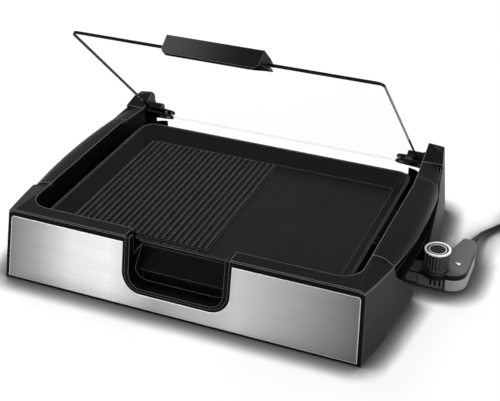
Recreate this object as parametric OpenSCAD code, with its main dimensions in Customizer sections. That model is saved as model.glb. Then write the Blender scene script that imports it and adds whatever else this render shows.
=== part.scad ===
// Electric indoor grill with a hinged glass lid, a drip drawer and a plug-in temperature control.
// Drawn with the front edge at y = 0 and the floor at z = 0, then moved so that the origin is the
// middle of its box on the floor. +Y is the back, +X is the side of the plug-in control.

/* [Body] */
// Width of the front at the floor
body_w = 500; // [460:1:540]
// Depth of the body at the floor
body_d = 400; // [390:1:420]
// How far each side bows out beyond the front corners
side_bulge = 23; // [15:1:30]
// Depth at which the sides are widest
bulge_y = 207; // [190:1:220]
// Inward lean of the sides, in degrees
side_draft = 5.3; // [4:0.1:6]
// Backward lean of the front, in degrees
front_lean = 11.1; // [8:0.1:13]
// Forward lean of the back, in degrees
rear_lean = 1.6; // [0:0.1:3]
// Thickness of the moulded walls
wall = 3; // [2.5:0.1:4]
// Height of the front bar's top
bar_top = 97.5; // [95:0.5:100]
// Height of the underside between the foot lobes
arch_h = 8.5; // [6:0.5:10]
// Length of each foot lobe along the side
lobe_l = 58; // [50:1:70]

/* [Top frame] */
// Width of the covers on each side of the opening, at the front corners
cover_w = 21; // [20:1:30]
// Depth from the front at which the opening starts
opening_y = 39; // [36:1:42]
// Radius of the opening's corners
opening_r = 28; // [20:1:34]
// Depth at which the front frame meets the handles
seam_front = 98; // [90:1:110]
// Distance from the back to the seam between the handles and the rear blocks
mid_seam_in = 91; // [80:1:110]
// Distance from the back to the seam between the rear blocks and the posts
rear_seam_in = 42; // [40:1:48]
// Gap between neighbouring covers
seam_gap = 0.5; // [0.3:0.1:0.8]
// Height of the posts above the front bar
post_rise = 12.5; // [9:0.5:16]
// Distance of the posts' inner faces from the front corners
post_in = 28; // [27:0.1:29.4]
// Height of the back wall between the posts
back_h = 48; // [40:1:56]
// Thickness of the covers
skin = 2.5; // [2:0.1:3]

/* [Front panel] */
// Thickness of the steel sheet
panel_t = 1.2; // [0.8:0.1:1.5]
// Thickness of the black fascia behind it
fascia_t = 3; // [2.6:0.1:4]
// Border of the fascia at the steel's ends
panel_side = 5; // [4:0.5:8]
// Height of the steel's lower edge above the floor
panel_low = 3.8; // [3:0.1:6]
// Distance from the steel's upper edge to the top of the bar, measured up the slope
panel_drop = 8.86; // [7:0.1:13]
// Width of the notch in the steel
notch_w = 151; // [146:1:160]
// Height of the notch's lower edge
notch_z = 22.3; // [20:0.1:26]
// Radius of the notch's lower corners
notch_r = 28; // [20:1:32]

/* [Drip drawer] */
// Distance from the notch's sides to the pocket behind it
pocket_side = 9.5; // [7:0.5:11]
// Height of the pocket's floor above the notch's lower edge
pocket_rise = 7.2; // [6:0.1:9]
// How much smaller the pocket's lower corners are than the notch's
pocket_tuck = 9; // [5:1:14]
// Depth at which the pocket's back wall stands
pocket_y = 27.5; // [26:0.5:29]
// Thickness of the drawer's walls
drawer_t = 2; // [1.6:0.1:2.2]
// Distance from the pocket's sides to the tray behind it
tray_side = 4; // [3:1:10]
// Length of the tray
tray_l = 170; // [140:1:180]
// Clearance between the tray's rim and the heating tube
tray_gap = 3; // [2:0.5:7]
// Clearance between the drawer and the notch it slides in
drawer_gap = 0.5; // [0.4:0.1:0.8]

/* [Grill plate] */
// Distance from the plate's rim to the sides of the opening
plate_side = 16; // [14:1:24]
// Distance from the plate's rear rim to the back of the body
plate_in = 51; // [50:1:64]
// Depth at which the plate's front rim stands
plate_y = 46; // [45:0.5:50]
// Drop from the front bar to the plate's rim
rim_drop = 19.5; // [18:0.5:22]
// Depth of the plate inside
plate_depth = 18; // [16:0.5:20]
// Thickness of the cast floor
plate_t = 6; // [5:0.5:6.5]
// Thickness of the cast walls, measured level
plate_wall = 3.2; // [3:0.1:5]
// Drop from the rim to the spout's lip in the notch
lip_drop = 8; // [7.5:0.5:10]
// Distance between ribs
rib_pitch = 9; // [8:0.5:12]
// Height of the ribs
rib_h = 3.5; // [2:0.5:4]
// Number of ribs
rib_n = 23; // [18:1:24]

/* [Heating element] */
// Diameter of the heating tube
tube_d = 8; // [6.5:0.1:8]
// Clearance between the heating loop and the plate
loop_gap = 1; // [1:0.1:1.4]
// Bend radius of the heating loop
loop_r = 20; // [16:1:26]
// Height of the socket's centre line
socket_z = 19; // [18:0.5:20]
// Depth of the socket's centre line
socket_y = 204; // [200:1:208]
// Distance between the two terminals
terminal_pitch = 12; // [11:0.5:13]

/* [Lid] */
// Clearance between the glass and each post
glass_side = 8.5; // [8:0.5:12]
// Depth at which the closed glass has its front edge
glass_front = 73.5; // [72:0.5:84]
// Thickness of the glass
glass_t = 4; // [3:0.5:4.5]
// Angle at which the lid stands open in the photograph
lid_open = 44.5; // [35:0.5:55]
// Distance of the hinge axis from the back
pivot_in = 26.5; // [26:0.5:28]
// Distance of the hinge axis from the top of the posts
pivot_drop = 16.5; // [15:0.5:17]
// Distance from the hinge axis to the glass's back edge
setback = 21; // [18:0.5:22]
// Height of the hinge axis above the middle of the glass
rise = 5.5; // [5.2:0.1:6]
// Radius of the hinge pins
pin_r = 2.5; // [2:0.1:2.6]
// Running clearance of the hinge pins
pin_gap = 0.05; // [0.03:0.01:0.08]
// Length of the lid's handle where it grips the glass
grip_l = 138; // [132:1:141]
// Length of the lid's handle at its front edge
grip_front_l = 130; // [120:1:132]

/* [Plug-in control] */
// Height of the control's underside
control_z = 5.5; // [5:0.1:6.5]
// Height of the control's lower shell
lower_h = 15.5; // [14:0.5:17]
// Height of the control's upper shell
upper_h = 7.5; // [6:0.5:9]
// How far the control reaches beyond its knob
arm_over = 23.1; // [20:0.1:26]
// Depth at which the control's arm ends
arm_end = 288; // [282:1:292]
// Radius of the knob
knob_r = 17.5; // [15:0.1:17.5]
// Height of the knob
knob_h = 30; // [26:0.5:32]
// Clearance between the knob and the body's side
knob_gap = 0.63; // [0.4:0.01:2]
// Distance of the knob's axis in front of the socket
knob_off = 4; // [0:0.5:6]

/* [Cord] */
// Diameter of the mains cord
cord_d = 7; // [6.5:0.1:7]
// Length of the strain relief
relief_l = 36; // [30:1:42]

/* [Hidden] */

satin_black = [0.16, 0.16, 0.17];
deep_black = [0.07, 0.07, 0.08];
steel_grey = [0.74, 0.74, 0.74];
light_grey = [0.45, 0.45, 0.46];
cord_black = [0.1, 0.1, 0.11];

// Sizes and places that follow from the sizes above
half_w = body_w / 2;
opening_w = body_w - 2 * cover_w;
post_inner = half_w - post_in;
post_h = bar_top + post_rise;
seam_mid = body_d - mid_seam_in;
seam_rear = body_d - rear_seam_in;
panel_high = bar_top / cos(front_lean) - panel_drop;
pocket_w = notch_w - 2 * pocket_side;
pocket_z = notch_z + pocket_rise;
pocket_r = notch_r - pocket_tuck;
tray_w = pocket_w - 2 * tray_side;
plate_w = opening_w - 2 * plate_side;
plate_d = body_d - plate_in - plate_y;
rim_z = bar_top - rim_drop;
floor_z = rim_z - plate_depth;
lip_z = rim_z - lip_drop;
loop_z = floor_z - plate_t - loop_gap - tube_d / 2;
tray_rim = loop_z - tube_d / 2 - tray_gap;
pivot_y = body_d - pivot_in;
pivot_z = post_h - pivot_drop;
glass_w = 2 * (post_inner - glass_side);
glass_l = pivot_y + setback - glass_front;

// The sides are parts of cones that stand upright, so that they bow out and lean in.
bow_r = (bulge_y * bulge_y + side_bulge * side_bulge) / (2 * side_bulge);
side_max = half_w + side_bulge;
bow_x = side_max - bow_r;
bow_fn = 360;
far = 700;
recess_back = socket_y + 32;
// The knob stands clear of the side, on top of the control's two shells.
seam_z = control_z + lower_h;
shell_top = seam_z + upper_h;
knob_low = shell_top + 0.9;
knob_top = knob_low + knob_h;
knob_x = side_max - knob_low * tan(side_draft) + knob_gap + knob_r;
knob_y = socket_y - knob_off;
control_reach = knob_x + knob_r + arm_over;

// The body is widest where the underside's edge meets the back of the hand recess.
side_reach = bow_x + sqrt(pow(bow_r - arch_h * tan(side_draft), 2) - pow(recess_back - bulge_y, 2));
origin_x = (control_reach - side_reach) / 2;
origin_y = body_d / 2;

module place() {
    translate([-origin_x, -origin_y, 0]) children();
}

module both() {
    children();
    mirror([1, 0, 0]) children();
}

// A solid with the given outline in the Y-Z plane, from x0 to x1.
module side_outline(x0, x1, points) {
    translate([x0, 0, 0]) rotate([90, 0, 90]) linear_extrude(x1 - x0) polygon(points);
}

// The body's outer shape between two heights, drawn in by t at the sides and back and tf in front.
module outer_block(t, tf, z0, z1) {
    yf0 = tf / cos(front_lean) + z0 * tan(front_lean);
    yf1 = tf / cos(front_lean) + z1 * tan(front_lean);
    yr0 = body_d - t - z0 * tan(rear_lean);
    yr1 = body_d - t - z1 * tan(rear_lean);
    intersection() {
        side_outline(-far / 2, far / 2, [[yf0, z0], [yr0, z0], [yr1, z1], [yf1, z1]]);
        bow_cone(t, z0, z1);
        mirror([1, 0, 0]) bow_cone(t, z0, z1);
    }
}

module bow_cone(t, z0, z1) {
    translate([bow_x, bulge_y, z0])
        cylinder(h = z1 - z0, r1 = bow_r - t - z0 * tan(side_draft),
            r2 = bow_r - t - z1 * tan(side_draft), $fn = bow_fn);
}

// Places a drawing of x and height up the slope on the leaning front, from depth d0 to d1.
module on_front(d0, d1) {
    rotate([90 - front_lean, 0, 0]) translate([0, 0, -d1]) linear_extrude(d1 - d0) children();
}

// A U with round lower corners, open at the top.
module u_shape(half, low, r, high) {
    translate([-half, low + r]) square([2 * half, high - low - r]);
    translate([r - half, low]) square([2 * (half - r), r + 1]);
    intersection() {
        union() {
            translate([r - half, low + r]) circle(r, $fn = 48);
            translate([half - r, low + r]) circle(r, $fn = 48);
        }
        translate([-half, low]) square([2 * half, high - low]);
    }
}

// The same U as a solid that runs level from y0 to y1.
module u_block(half, low, r, high, y0, y1) {
    translate([0, y1, 0]) rotate([90, 0, 0]) linear_extrude(y1 - y0) u_shape(half, low, r, high);
}

notch_half = notch_w / 2;
border = 3;
sleeve_half = notch_half - border;
sleeve_z = notch_z + border;
sleeve_r = notch_r - border;

// Plan of the opening between the covers, drawn in by t.
well_back = body_d - 12;
module well_plan(t) {
    mid_r = 20;
    offset(r = -t) hull() {
        for (s = [-1, 1]) {
            translate([s * (opening_w / 2 - opening_r), opening_y + opening_r])
                circle(opening_r, $fn = 32);
            translate([s * (opening_w / 2 - mid_r), seam_mid - mid_r]) circle(mid_r, $fn = 32);
            translate([s * (post_inner - opening_r), well_back - opening_r])
                circle(opening_r, $fn = 32);
        }
    }
}

/* Top frame: a level bar in front, and shoulders that fall away to the sides */
shoulder_slope = 17;
shoulder_fall = 1.56;
shoulder_in = 11.55;
shoulder_z = bar_top + (half_w - shoulder_in) * tan(shoulder_slope);

// Everything below the shoulders' tops and the bar's top, lowered by dz.
module below_top(dz) {
    intersection() {
        translate([-far / 2, -far, bar_top - dz - far]) cube([far, 2 * far, far]);
        below_shoulder(dz);
        mirror([1, 0, 0]) below_shoulder(dz);
    }
}

module below_shoulder(dz) {
    translate([0, 0, shoulder_z - dz]) rotate([-shoulder_fall, 0, 0])
        rotate([0, shoulder_slope, 0]) translate([-far, -far, -far]) cube([2 * far, 2 * far, far]);
}

cover_z = bar_top - 17.5;
sleeve_t = 2;
module top_frame() {
    color(satin_black) difference() {
        union() {
            difference() {
                intersection() {
                    outer_block(0, 0, cover_z, bar_top + 1);
                    below_top(0);
                    translate([-far / 2, 0, 0]) cube([far, seam_front - seam_gap / 2, 200]);
                }
                below_top(skin);
                translate([0, 0, cover_z - 1]) linear_extrude(60) well_plan(0);
            }
            // Sleeve that the drawer slides in
            intersection() {
                u_block(sleeve_half + sleeve_t, sleeve_z - sleeve_t, sleeve_r + sleeve_t,
                    bar_top - skin / 2, 0, opening_y);
                outer_block(0, fascia_t, 1, bar_top);
            }
        }
        u_block(sleeve_half, sleeve_z, sleeve_r, 200, -10, opening_y + 10);
    }
}

/* Housing */
recess_x = half_w - 2;
handle_lip_front = bar_top - 12.5;
handle_lip_back = bar_top - 24.5;
block_lip_front = bar_top - 14.5;
block_lip_back = bar_top - 6.5;
// Front and rear edges of the hand recess, as depth and height.
recess_top = bar_top - 5.5;
recess_rise = seam_mid - recess_back - 4;
recess_points = [[seam_front - 4, recess_top], [seam_front + 2, handle_lip_back - 2],
    [socket_y - 49, 20], [socket_y - 41, -5], [recess_back, -5], [recess_back + 4, 40],
    [recess_back + 4 + 0.32 * recess_rise, 52], [seam_mid - 1, handle_lip_back - 4],
    [seam_mid + 21, recess_top]];
boss_r = 5;
screw_r = 1.5;
cover_low = 9.5;
cover_t = 2;
cover_top = cover_low + cover_t;
ring_top = cover_top + 1.2;
boss_h = 3.2;
boss_points = [[45 - half_w, 60], [half_w - 45, 60], [38 - half_w, 200], [half_w - 70, 240],
    [50 - half_w, body_d - 28], [half_w - 50, body_d - 28]];
foot_r = 8;
foot_x = half_w - 24;
foot_y0 = 30;
foot_y1 = body_d - 26;
foot_t = 4;
pad_r = 11;
lobe_ramp = 12;

// The space above the lips of the handles, rear blocks and posts, to be kept free of the wall.
module above_lips(dz) {
    g = seam_gap / 2;
    side_outline(-far / 2, far / 2, [[seam_front - g, handle_lip_front - dz],
        [seam_mid, handle_lip_back - dz], [seam_mid, block_lip_front - dz],
        [seam_rear, block_lip_back - dz], [body_d + 10, block_lip_back - dz],
        [body_d + 10, 200], [seam_front - g, 200]]);
}

module recess_space(x0) {
    side_outline(x0, far / 2, recess_points);
}

// The recess's walls start 1 mm under the outer surface, inside the wall that carries them.
pan_low = 2;
pan_top = bar_top - 7.5;
module recess_pan() {
    intersection() {
        outer_block(1, fascia_t, pan_low, pan_top);
        difference() {
            translate([recess_x - wall, seam_front - 13, pan_low])
                cube([80, seam_mid - seam_front + 39, pan_top - pan_low]);
            recess_space(recess_x);
            // Hollow behind the wall outside the recess
            difference() {
                intersection() {
                    outer_block(wall, fascia_t, 0, 99);
                    translate([recess_x - wall - 1, seam_front - 18, 0])
                        cube([80, seam_mid - seam_front + 49, 99]);
                }
                side_outline(recess_x - wall - 2, far / 2, [for (p = recess_points)
                    [p[0] + (p[0] < 200 ? -wall : wall), p[1]]]);
            }
        }
    }
}

rib_t = 2;
wall_top = bar_top - 1.5;
module recess_ribs() {
    intersection() {
        outer_block(4.5, fascia_t, 1, pan_top);
        union() {
            translate([recess_x - 1, seam_front - 2, handle_lip_back - 3])
                cube([60, seam_mid - seam_front + 1, rib_t]);
            translate([recess_x - 1, socket_y - 84, 46.5]) cube([60, 135, rib_t]);
        }
        recess_space(recess_x - 1);
    }
}

module housing() {
    color(satin_black) difference() {
        union() {
            difference() {
                outer_block(0, fascia_t, 1, wall_top);
                outer_block(wall, fascia_t + skin, 0, wall_top + 1);
                both() recess_space(recess_x - wall);
            }
            both() recess_pan();
            both() recess_ribs();
            for (p = boss_points) translate([p[0], p[1], cover_top])
                cylinder(h = boss_h, r = boss_r, $fn = 32);
            both() for (y = [foot_y0, foot_y1]) translate([foot_x, y, 1])
                cylinder(h = ring_top - 1, r = pad_r, $fn = 32);
            inner_floor();
        }
        // Cut down to the covers
        difference() {
            translate([-far / 2, -10, 0]) cube([far, seam_front - seam_gap / 2 + 10, 200]);
            below_top(skin);
        }
        above_lips(0);
        translate([1 - post_inner, seam_rear, back_h]) cube([2 * post_inner - 2, 100, 100]);
        translate([0, 0, bar_top - 4.5]) linear_extrude(20) well_plan(0);
        u_block(sleeve_half + sleeve_t + 0.1, sleeve_z - sleeve_t - 0.1, sleeve_r + sleeve_t, 200, -10,
            opening_y);
        // Arch between the foot lobes
        side_outline(-far / 2, far / 2, [[lobe_l, -1], [lobe_l + lobe_ramp, arch_h],
            [body_d - lobe_l - lobe_ramp - 10, arch_h], [body_d - lobe_l - 10, -1]]);
        both() for (y = [foot_y0, foot_y1]) translate([foot_x, y, -1])
            cylinder(h = foot_t + 1, r = foot_r + 0.1, $fn = 32);
        for (p = boss_points) translate([p[0], p[1], 0]) cylinder(h = 40, r = screw_r, $fn = 24);
        // Window for the terminal block
        translate([recess_x - wall - 1, socket_y - block_w / 2 - 0.2, block_low - 0.2])
            cube([wall + 2, block_w + 0.4, block_top - block_low + 0.4]);
    }
}

// A ring that carries the screw bosses and stiffens the walls.
module inner_floor() {
    intersection() {
        outer_block(wall - 0.5, fascia_t + skin - 0.5, cover_top, ring_top);
        difference() {
            translate([-far / 2, 0, 0]) cube([far, far, 100]);
            translate([50 - half_w, 70, 0]) cube([body_w - 135, body_d - 110, 100]);
            both() recess_space(recess_x - wall);
            translate([block_x - 0.3, socket_y - block_w / 2 - 0.3, 0])
                cube([60, block_w + 0.6, 100]);
        }
    }
}

module bottom_cover() {
    color(deep_black) difference() {
        intersection() {
            outer_block(wall + 0.4, fascia_t + skin + 0.4, cover_low, cover_top);
            translate([0.3 + wall - recess_x, 0, 0]) cube([2 * (recess_x - wall - 0.3), far, 99]);
        }
        for (p = boss_points) translate([p[0], p[1], 0]) cylinder(h = 40, r = screw_r + 0.2, $fn = 24);
        both() for (y = [foot_y0, foot_y1]) translate([foot_x, y, 0])
            cylinder(h = 40, r = pad_r + 0.4, $fn = 32);
        for (x = [-150:25:150], y = [120, 250]) translate([x - 3, y, 0]) cube([6, 40, 40]);
    }
}

module bottom_screws() {
    color(steel_grey) for (p = boss_points) translate([p[0], p[1], cover_low - 1.8]) {
        cylinder(h = 1.8, r = 3.2, $fn = 32);
        cylinder(h = 6, r = screw_r - 0.02, $fn = 24);
    }
}

module rubber_feet() {
    color(deep_black) both() for (y = [foot_y0, foot_y1]) translate([foot_x, y, 0])
        cylinder(h = foot_t, r = foot_r, $fn = 32);
}

/* Front */
module panel_outline(grow) {
    half_low = body_w / 2 - panel_side + grow;
    half_high = half_low - (panel_high - panel_low) * tan(front_taper);
    difference() {
        union() {
            polygon([[-half_low, panel_low - grow], [half_low, panel_low - grow],
                [half_high, panel_high - panel_corner], [half_high - panel_corner, panel_high + grow],
                [panel_corner - half_high, panel_high + grow],
                [-half_high, panel_high - panel_corner]]);
            for (s = [-1, 1]) translate([s * (half_high - panel_corner), panel_high - panel_corner])
                circle(panel_corner + grow, $fn = 32);
        }
        u_shape(notch_half - grow, notch_z / cos(front_lean) + grow, notch_r - grow, 200);
    }
}
front_taper = 2.7;
panel_corner = 4;

module front_fascia() {
    color(deep_black) difference() {
        intersection() {
            outer_block(0, 0, 1, wall_top);
            below_top(skin + 0.2);
        }
        outer_block(-cover_w, fascia_t - 0.1, 0, bar_top + 1.5);
        on_front(-1, panel_t) panel_outline(0.15);
        u_block(sleeve_half, sleeve_z, sleeve_r, 200, -10, opening_y);
    }
}

module steel_panel() {
    color(steel_grey) on_front(-0.3, panel_t - 0.05) panel_outline(0);
}

/* Side handles, rear blocks and posts */
// The crown of a cover: a rounded corner curve from the level top down the outer side.
crown_in = bow_r - 44;
crown_low = bar_top - 23.5;
crown_a = 36;
crown_b = 24;
crown_power = 0.75;
function crown(d, k = crown_b) = [for (t = [0:9:90])
    [crown_in + (crown_a - d) * pow(sin(t), crown_power),
        crown_low + (k - d) * pow(cos(t), crown_power)]];

module crown_ring(d, low, k = crown_b) {
    translate([bow_x, bulge_y, 0]) rotate([0, 0, -14]) rotate_extrude(angle = 28, $fn = bow_fn)
        polygon(concat([[crown_in - 20, low]], [[crown_in - 20, crown_low + k - d]],
            crown(d, k), [[crown_in + crown_a - d + (crown_low - low) * tan(side_draft), low]]));
}

module side_cover(y0, y1, k) {
    difference() {
        intersection() {
            crown_ring(0, 60, k);
            translate([half_w / 2, y0, 0]) cube([far, y1 - y0, far]);
            above_lips(0);
        }
        difference() {
            crown_ring(skin, 59, k);
            // End ribs
            translate([half_w / 2, y0 - 1, 0]) cube([far, skin + 1, far]);
            translate([half_w / 2, y1 - skin, 0]) cube([far, skin + 1, far]);
        }
        translate([0, 0, bar_top / 2]) linear_extrude(far) well_plan(0);
    }
}

module right_handle() {
    color(satin_black) side_cover(seam_front + seam_gap / 2, seam_mid - seam_gap / 2, crown_b);
}

module left_handle() {
    mirror([1, 0, 0]) right_handle();
}

module right_rear_block() {
    color(satin_black) side_cover(seam_mid + seam_gap / 2, seam_rear - seam_gap / 2, crown_b - 2);
}

module left_rear_block() {
    mirror([1, 0, 0]) right_rear_block();
}

post_foot_z = bar_top - 1.9;
module post_outline(t) {
    y0 = seam_rear + seam_gap / 2 + t;
    yt = body_d - post_h * tan(rear_lean) - post_back;
    side_outline(post_inner + t, far / 2, [[y0, block_lip_back - 1 - t], [y0, post_foot_z - t],
        [yt, post_h - t * 1.1], [yt + post_back * 0.6, post_h - 4 - t],
        [body_d + 10, 80], [body_d + 10, block_lip_back - 1 - t]]);
}
post_back = 8;

// The post's top falls off to the outside, from a height just over its inner face.
post_slope = 14;
post_fall = (post_inner + 2.6) * tan(post_slope);
module below_post(dz) {
    translate([0, 0, post_fall + post_h - dz]) rotate([0, post_slope, 0])
        translate([-far, 0, -far]) cube([2 * far, 2 * far, far]);
}

module right_post() {
    color(satin_black) difference() {
        intersection() {
            post_outline(0);
            outer_block(0, 0, 80, post_h + 1);
            below_post(0);
            above_lips(0);
        }
        intersection() {
            post_outline(skin);
            outer_block(skin, 0, 70, post_h - 1);
            below_post(skin);
        }
        translate([post_inner - 1, pivot_y, pivot_z]) rotate([0, 90, 0])
            cylinder(h = 20, r = bracket_r + 0.1, $fn = 32);
    }
}

module left_post() {
    mirror([1, 0, 0]) right_post();
}

/* Hinges */
bracket_r = 5;
bracket_t = 2.6;
bracket_depth = 9;
module right_hinge_bracket() {
    color(deep_black) difference() {
        union() {
            translate([post_inner - bracket_t, pivot_y, pivot_z]) rotate([0, 90, 0])
                cylinder(h = bracket_t, r = 8, $fn = 48);
            translate([post_inner - bracket_t, pivot_y, pivot_z]) rotate([0, 90, 0])
                cylinder(h = bracket_t + bracket_depth, r = bracket_r, $fn = 48);
        }
        translate([post_inner - bracket_t - 1, pivot_y, pivot_z]) rotate([0, 90, 0])
            cylinder(h = bracket_t + bracket_depth + 2, r = pin_r + pin_gap, $fn = 32);
    }
}

module left_hinge_bracket() {
    mirror([1, 0, 0]) right_hinge_bracket();
}

// The lid is drawn closed with the hinge axis as its origin, and then opened.
module open_lid() {
    translate([0, pivot_y, pivot_z]) rotate([-lid_open, 0, 0]) children();
}

glass_r = 10;
module lid_glass() {
    color([0.85, 0.9, 0.9, 0.35]) open_lid() translate([0, 0, -rise - glass_t / 2])
        linear_extrude(glass_t) difference() {
            hull() for (s = [-1, 1]) {
                translate([s * (glass_w / 2 - 2), setback - 2]) circle(2, $fn = 16);
                translate([s * (glass_w / 2 - glass_r), setback - glass_l + glass_r])
                    circle(glass_r, $fn = 32);
            }
            for (s = [-1, 1]) translate([s * clamp_screw_x, setback - clamp_screw_s])
                circle(clamp_hole_r, $fn = 24);
            for (s = [-1, 1]) translate([s * grip_screw_x, setback - glass_l + grip_screw_s])
                circle(clamp_hole_r, $fn = 24);
        }
}

clamp_in = glass_w / 2 - 34.5;
clamp_out = post_inner - bracket_t - 0.6;
clamp_len = 27;
clamp_over = 3;
clamp_low = 5;
clamp_screw_x = glass_w / 2 - 25.5;
clamp_screw_s = 12;
clamp_hole_r = 2.6;
screw_head_r = 4;
screw_head_h = 1.4;
module right_hinge_clamp() {
    color(deep_black) open_lid() difference() {
        union() {
            hull() {
                translate([clamp_in + 9, setback - clamp_screw_s, -rise - clamp_low])
                    cylinder(h = 2 * clamp_low, r = 9, $fn = 32);
                translate([clamp_out - 6, setback + clamp_over - 14, -rise - clamp_low])
                    cube([6, 14, 2 * clamp_low]);
                translate([clamp_out - 6, -6, -rise - clamp_low]) cube([6, 8, 2 * clamp_low]);
            }
            translate([clamp_out - 22, 0, 0]) rotate([0, 90, 0]) cylinder(h = 22, r = 7, $fn = 48);
        }
        // Slot for the glass
        translate([clamp_in - 1, setback - 60, -rise - glass_t / 2 - 0.05])
            cube([glass_w / 2 + 0.4 - clamp_in + 1, 60.05, glass_t + 0.1]);
        translate([clamp_out - 23, 0, 0]) rotate([0, 90, 0])
            cylinder(h = 30, r = pin_r + 0.02, $fn = 32);
        translate([clamp_screw_x, setback - clamp_screw_s, -rise - 20])
            cylinder(h = 40, r = clamp_hole_r - 0.4, $fn = 24);
    }
}

module left_hinge_clamp() {
    mirror([1, 0, 0]) right_hinge_clamp();
}

module clamp_screws() {
    color(steel_grey) open_lid() both()
        translate([clamp_screw_x, setback - clamp_screw_s, -rise - clamp_low - screw_head_h]) {
            cylinder(h = screw_head_h, r = screw_head_r, $fn = 32);
            cylinder(h = 2 * clamp_low + 1, r = clamp_hole_r - 0.45, $fn = 24);
        }
}

module hinge_pins() {
    color(steel_grey) open_lid() both() translate([clamp_out - 20, 0, 0]) rotate([0, 90, 0])
        cylinder(h = 20 + 0.6 + bracket_t + bracket_depth - 1, r = pin_r, $fn = 32);
}

// The lid's handle: a wedge across the front edge of the glass.
grip_top = 8.2;
grip_low = 20;
grip_front = 31;
grip_back = 14;
grip_corner = 12;
grip_screw_x = grip_l / 2 - 24;
grip_screw_s = 7;
// The screws' heads sit in counterbores under the glass, and their ends stop inside the handle.
grip_seat = glass_t / 2 + 2.6;
grip_screw_end = glass_t / 2 + 1.6;
module lid_handle() {
    y_edge = setback - glass_l;
    color(deep_black) open_lid() translate([0, y_edge, -rise]) difference() {
        intersection() {
            // Cross-section
            side_outline(-far / 2, far / 2, [[grip_back, glass_t / 2 + 2], [grip_back, -glass_t / 2 - 2],
                [-6, 9 - grip_low], [3 - grip_front, -grip_low], [-grip_front, 2 - grip_low],
                [-grip_front + 6, grip_top]]);
            // Plan
            translate([0, 0, -50]) linear_extrude(100) polygon([[-grip_l / 2, grip_back + 1],
                [grip_l / 2, grip_back + 1], [grip_l / 2, -4],
                [grip_front_l / 2, -grip_front - 1], [-grip_front_l / 2, -grip_front - 1],
                [-grip_l / 2, -4]]);
            // Front view, with round lower corners
            translate([0, 100, 0]) rotate([90, 0, 0]) linear_extrude(200) hull() {
                translate([-grip_l / 2 - 5, 0]) square([grip_l + 10, 20]);
                for (s = [-1, 1])
                    translate([s * (grip_front_l / 2 - grip_corner + 1), grip_corner - grip_low])
                        circle(grip_corner, $fn = 32);
            }
        }
        // Slot for the glass
        translate([-far / 2, -0.05, -glass_t / 2 - 0.05]) cube([far, far, glass_t + 0.1]);
        for (s = [-1, 1]) translate([s * grip_screw_x, grip_screw_s, -grip_seat]) {
            cylinder(h = grip_seat + grip_screw_end + 0.1, r = clamp_hole_r - 0.4, $fn = 24);
            translate([0, 0, -grip_low]) cylinder(h = grip_low, r = screw_head_r + 0.3, $fn = 32);
        }
    }
}

module lid_handle_screws() {
    y_edge = setback - glass_l;
    color(steel_grey) open_lid() translate([0, y_edge, -rise]) both()
        translate([grip_screw_x, grip_screw_s, -grip_seat]) {
            cylinder(h = grip_seat + grip_screw_end, r = clamp_hole_r - 0.45, $fn = 24);
            translate([0, 0, -screw_head_h]) cylinder(h = screw_head_h, r = screw_head_r, $fn = 32);
        }
}

/* Drip drawer */
flange_t = 1.6;
tray_r = 12;
// The pocket's back wall leans back from just over the tray to just under the plate's lip.
chute_low = tray_rim + 3;
chute_top = lip_z - 2;
chute_y = plate_y + lip_drop - 1.5;

// Everything in front of the back wall, with that wall's faces moved back by t.
module before_chute(t) {
    y_top = chute_y - 1.4 * (drawer_t - t);
    side_outline(-far / 2, far / 2, [[-20, 0], [pocket_y + t, 0], [pocket_y + t, chute_low - 0.4 * t],
        [y_top, chute_top], [y_top, far], [-20, far]]);
}

module drip_drawer() {
    top = bar_top - 2;
    out = pocket_w / 2 + drawer_t;
    tray_y0 = pocket_y + drawer_t;
    color(deep_black) difference() {
        union() {
            // Flange round the notch
            intersection() {
                u_block(sleeve_half - drawer_gap, sleeve_z + drawer_gap, sleeve_r - drawer_gap, top,
                    -10, 60);
                on_front(-0.4, flange_t) translate([-far / 2, 0]) square([far, far]);
            }
            difference() {
                intersection() {
                    u_block(out, pocket_z - drawer_t, pocket_r + drawer_t, top, 0, far);
                    before_chute(drawer_t);
                }
                on_front(-30, 0.1) translate([-far / 2, -20]) square([far, far]);
            }
            u_block(tray_w / 2, pocket_z - drawer_t, tray_r, tray_rim, tray_y0 - 1, tray_y0 - 1 + tray_l);
        }
        intersection() {
            u_block(pocket_w / 2, pocket_z, pocket_r, far, -20, far);
            before_chute(0);
        }
        // Cut the back wall and its cheeks down to the plate's lip
        translate([-far / 2, pocket_y - 0.1, chute_top]) cube([far, far, far]);
        u_block(tray_w / 2 - drawer_t, pocket_z, tray_r - drawer_t, tray_rim + 1, tray_y0,
            tray_y0 - 1 + tray_l - drawer_t);
    }
}

/* Inner liner */
liner_t = 0.8;
liner_low = cover_top + boss_h;
liner_gap = 0.4;
liner_top = bar_top - 5;
ear_h = bar_top - 32.5;
module inner_liner() {
    color(deep_black) difference() {
        translate([0, 0, liner_low]) linear_extrude(liner_top - liner_low) well_plan(liner_gap);
        translate([0, 0, liner_low + liner_t]) linear_extrude(100) well_plan(liner_gap + liner_t);
        // The low back and its corners
        translate([26 - post_inner, seam_rear + 4, back_h]) cube([2 * post_inner - 52, 60, 60]);
        translate([-far / 2, seam_rear + 1, ear_h]) cube([far, 60, 60]);
        translate([-pocket_w / 2 - drawer_t - drawer_gap, 0, pocket_z - drawer_t - drawer_gap])
            cube([pocket_w + 2 * (drawer_t + drawer_gap), 60, 100]);
        for (y = terminal_ys) translate([opening_w / 2 - 49, y, socket_z]) rotate([0, 90, 0])
            cylinder(h = 60, r = tube_d / 2 + 0.5, $fn = 32);
        translate([opening_w / 2 - 49, socket_y, socket_z]) rotate([0, 90, 0])
            cylinder(h = 60, r = probe_r + 0.6, $fn = 32);
    }
}

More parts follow.
